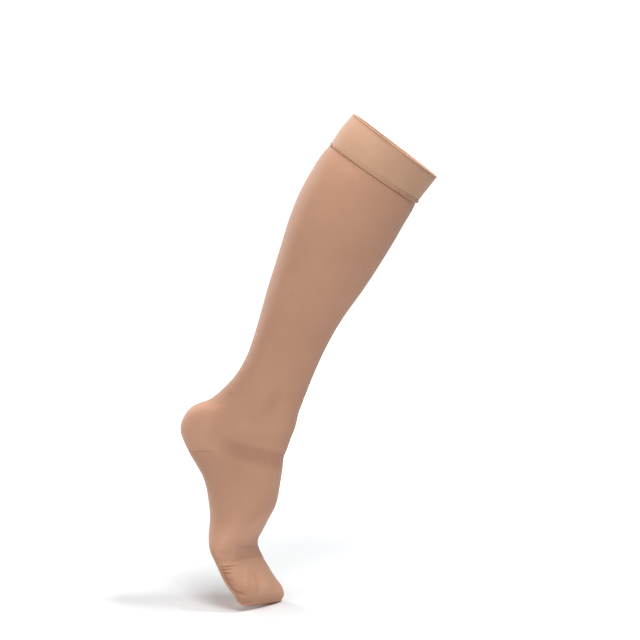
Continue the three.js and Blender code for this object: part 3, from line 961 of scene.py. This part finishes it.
def overcast_path(shape):
    """The coil over the closing line, in twelve steps a loop: a flattened helix along the inner direction,
    which sinks towards both ends of the line as the fourth power."""
    middle, front, inner, ahead = tip_frame()
    along = np.linspace(-1, 1, OVERCAST_LOOPS * 12 + 1)
    coil = (along + 1) / 2 * OVERCAST_LOOPS * math.tau
    half = 0.47 * ROWS[-1, COLUMNS.index("breadth")]
    ridge = shape.tip_rise - 0.9 * MM * along ** 4
    return (middle + np.outer(along * half, inner) + np.outer(ridge + 0.75 * MM * np.cos(coil), ahead)
            + np.outer(0.95 * MM * np.sin(coil), front))


class STOCKING_OT_threads(bpy.types.Operator):
    """Sews the zigzag of the hem and the overcast closing seam of the toe"""

    bl_idname = "stocking.threads"
    bl_label = "Sewing threads"

    def execute(self, context):
        knit, shape, _ = settings()
        hem = thread_mesh("hem_zigzag", hem_path(shape), shape.thread / 2, True)
        dress(hem, thread_material("Hem_Thread", shade_of(knit.band_yarn, HEM_THREAD_AND_SHADE_TINT)), "band_knit")
        toe = thread_mesh("toe_overcast", overcast_path(shape), 0.6 * shape.thread, False)
        dress(toe, thread_material("Toe_Thread", shade_of(knit.toe_yarn, TOE_THREAD_AND_HIGHLIGHT_TINT)), "toe_knit")
        return {"FINISHED"}


class STOCKING_OT_stage(bpy.types.Operator):
    """Sets the pale floor, the soft lights and the camera"""

    bl_idname = "stocking.stage"
    bl_label = "Stage"

    def execute(self, context):
        _, _, studio = settings()
        floor(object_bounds()[0].z, studio)
        sky(studio.sky)
        for name, place, size, power in SOFTBOXES:
            softbox(name, Vector(place), size, getattr(studio, power))
        camera()
        return {"FINISHED"}


def floor(level, studio):
    """A plain pale square at the lowest point. It glows a little far off, where the lamps don't reach, by the
    distance from the toes, so that its edge melts into the white behind it."""
    half = studio.floor_size / 2
    mesh = bpy.data.meshes.new("floor")
    corners = [(-half, -half, level), (half, -half, level), (half, half, level), (-half, half, level)]
    mesh.from_pydata(corners, [], [(0, 1, 2, 3)])
    material, tree, surface = new_material("Studio_Floor")
    surface.inputs["Base Color"].default_value = (0.84, 0.855, 0.865, 1)
    surface.inputs["Roughness"].default_value = 0.9
    surface.inputs["Specular IOR Level"].default_value = 0.1
    surface.inputs["Emission Color"].default_value = (1, 1, 1, 1)
    place = add_node(tree, "ShaderNodeTexCoord")
    away = add_node(tree, "ShaderNodeVectorMath", {0: place.outputs["Object"], 1: SHADOW_MIDDLE},
                    operation="DISTANCE")
    reach = {"Value": away.outputs["Value"], "From Min": 0.3, "From Max": 1.2, "To Max": studio.far_glow}
    glow = add_node(tree, "ShaderNodeMapRange", reach, interpolation_type="SMOOTHSTEP")
    seen = add_node(tree, "ShaderNodeLightPath")
    glow = calculate(tree, "MULTIPLY", glow.outputs["Result"], seen.outputs["Is Camera Ray"])
    tree.links.new(glow, surface.inputs["Emission Strength"])
    mesh.materials.append(material)
    put_in_scene("floor", mesh)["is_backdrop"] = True


def sky(strength):
    """White all round: full white to the camera, softer as light."""
    world = bpy.data.worlds.new("Studio_White")
    world.use_nodes = True
    tree = world.node_tree
    background = tree.nodes["Background"]
    background.inputs["Color"].default_value = (1, 1, 1, 1)
    path = add_node(tree, "ShaderNodeLightPath")
    level = add_node(tree, "ShaderNodeMapRange", {"Value": path.outputs["Is Camera Ray"], "To Min": strength,
                                                  "To Max": 1.1})
    tree.links.new(level.outputs["Result"], background.inputs["Strength"])
    bpy.context.scene.world = world


def softbox(name, place, size, power):
    """A square area light at a place from the middle of the garment, which it faces."""
    light = bpy.data.lights.new(name, "AREA")
    light.shape, light.size, light.energy = "SQUARE", size, power
    lamp = put_in_scene(name, light)
    lamp.location = GARMENT_MIDDLE + place
    lamp.rotation_euler = (-place).to_track_quat("-Z", "Y").to_euler()
    lamp.visible_camera = False


def camera():
    """Looks along +Y and down by the camera's dip, at its distance from the target."""
    data = bpy.data.cameras.new("Camera")
    data.sensor_width = SENSOR
    data.lens = SENSOR * CAMERA_DISTANCE / FRAME_WIDTH
    data.clip_end = 200
    view = Vector((0, math.cos(CAMERA_DIP), -math.sin(CAMERA_DIP)))
    holder = put_in_scene("Camera", data)
    holder.location = CAMERA_TARGET - view * CAMERA_DISTANCE
    holder.rotation_euler = view.to_track_quat("-Z", "Y").to_euler()
    bpy.context.scene.camera = holder
    bpy.context.scene.view_settings.view_transform = "Standard"


PIECES = (STOCKING_OT_top_band, STOCKING_OT_leg_and_foot, STOCKING_OT_heel_pocket, STOCKING_OT_toe_cap,
          STOCKING_OT_threads)


class STOCKING_PT_panel(bpy.types.Panel):
    """Lists the pieces, the stage and their settings"""

    bl_label = "Stocking"
    bl_idname = "STOCKING_PT_panel"
    bl_space_type = "VIEW_3D"
    bl_region_type = "UI"
    bl_category = "Stocking"

    def draw(self, context):
        for operator in (*PIECES, STOCKING_OT_stage):
            self.layout.operator(operator.bl_idname)
        for group in settings():
            box = self.layout.box()
            for name in group.__annotations__:
                box.prop(group, name)


GROUPS = {"stocking_knit": StockingKnit, "stocking_shape": StockingShape, "stocking_studio": StockingStudio}


def register():
    for cls in (*GROUPS.values(), *PIECES, STOCKING_OT_stage, STOCKING_PT_panel):
        bpy.utils.register_class(cls)
    for name, group in GROUPS.items():
        setattr(bpy.types.Scene, name, PointerProperty(type=group))


def unregister():
    for name in GROUPS:
        delattr(bpy.types.Scene, name)
    for cls in (STOCKING_PT_panel, STOCKING_OT_stage, *reversed(PIECES), *GROUPS.values()):
        bpy.utils.unregister_class(cls)


def main():
    register()
    bpy.ops.stocking.top_band()
    bpy.ops.stocking.leg_and_foot()
    bpy.ops.stocking.heel_pocket()
    bpy.ops.stocking.toe_cap()
    bpy.ops.stocking.threads()
    bpy.ops.stocking.stage()


if __name__ == "__main__":
    main()
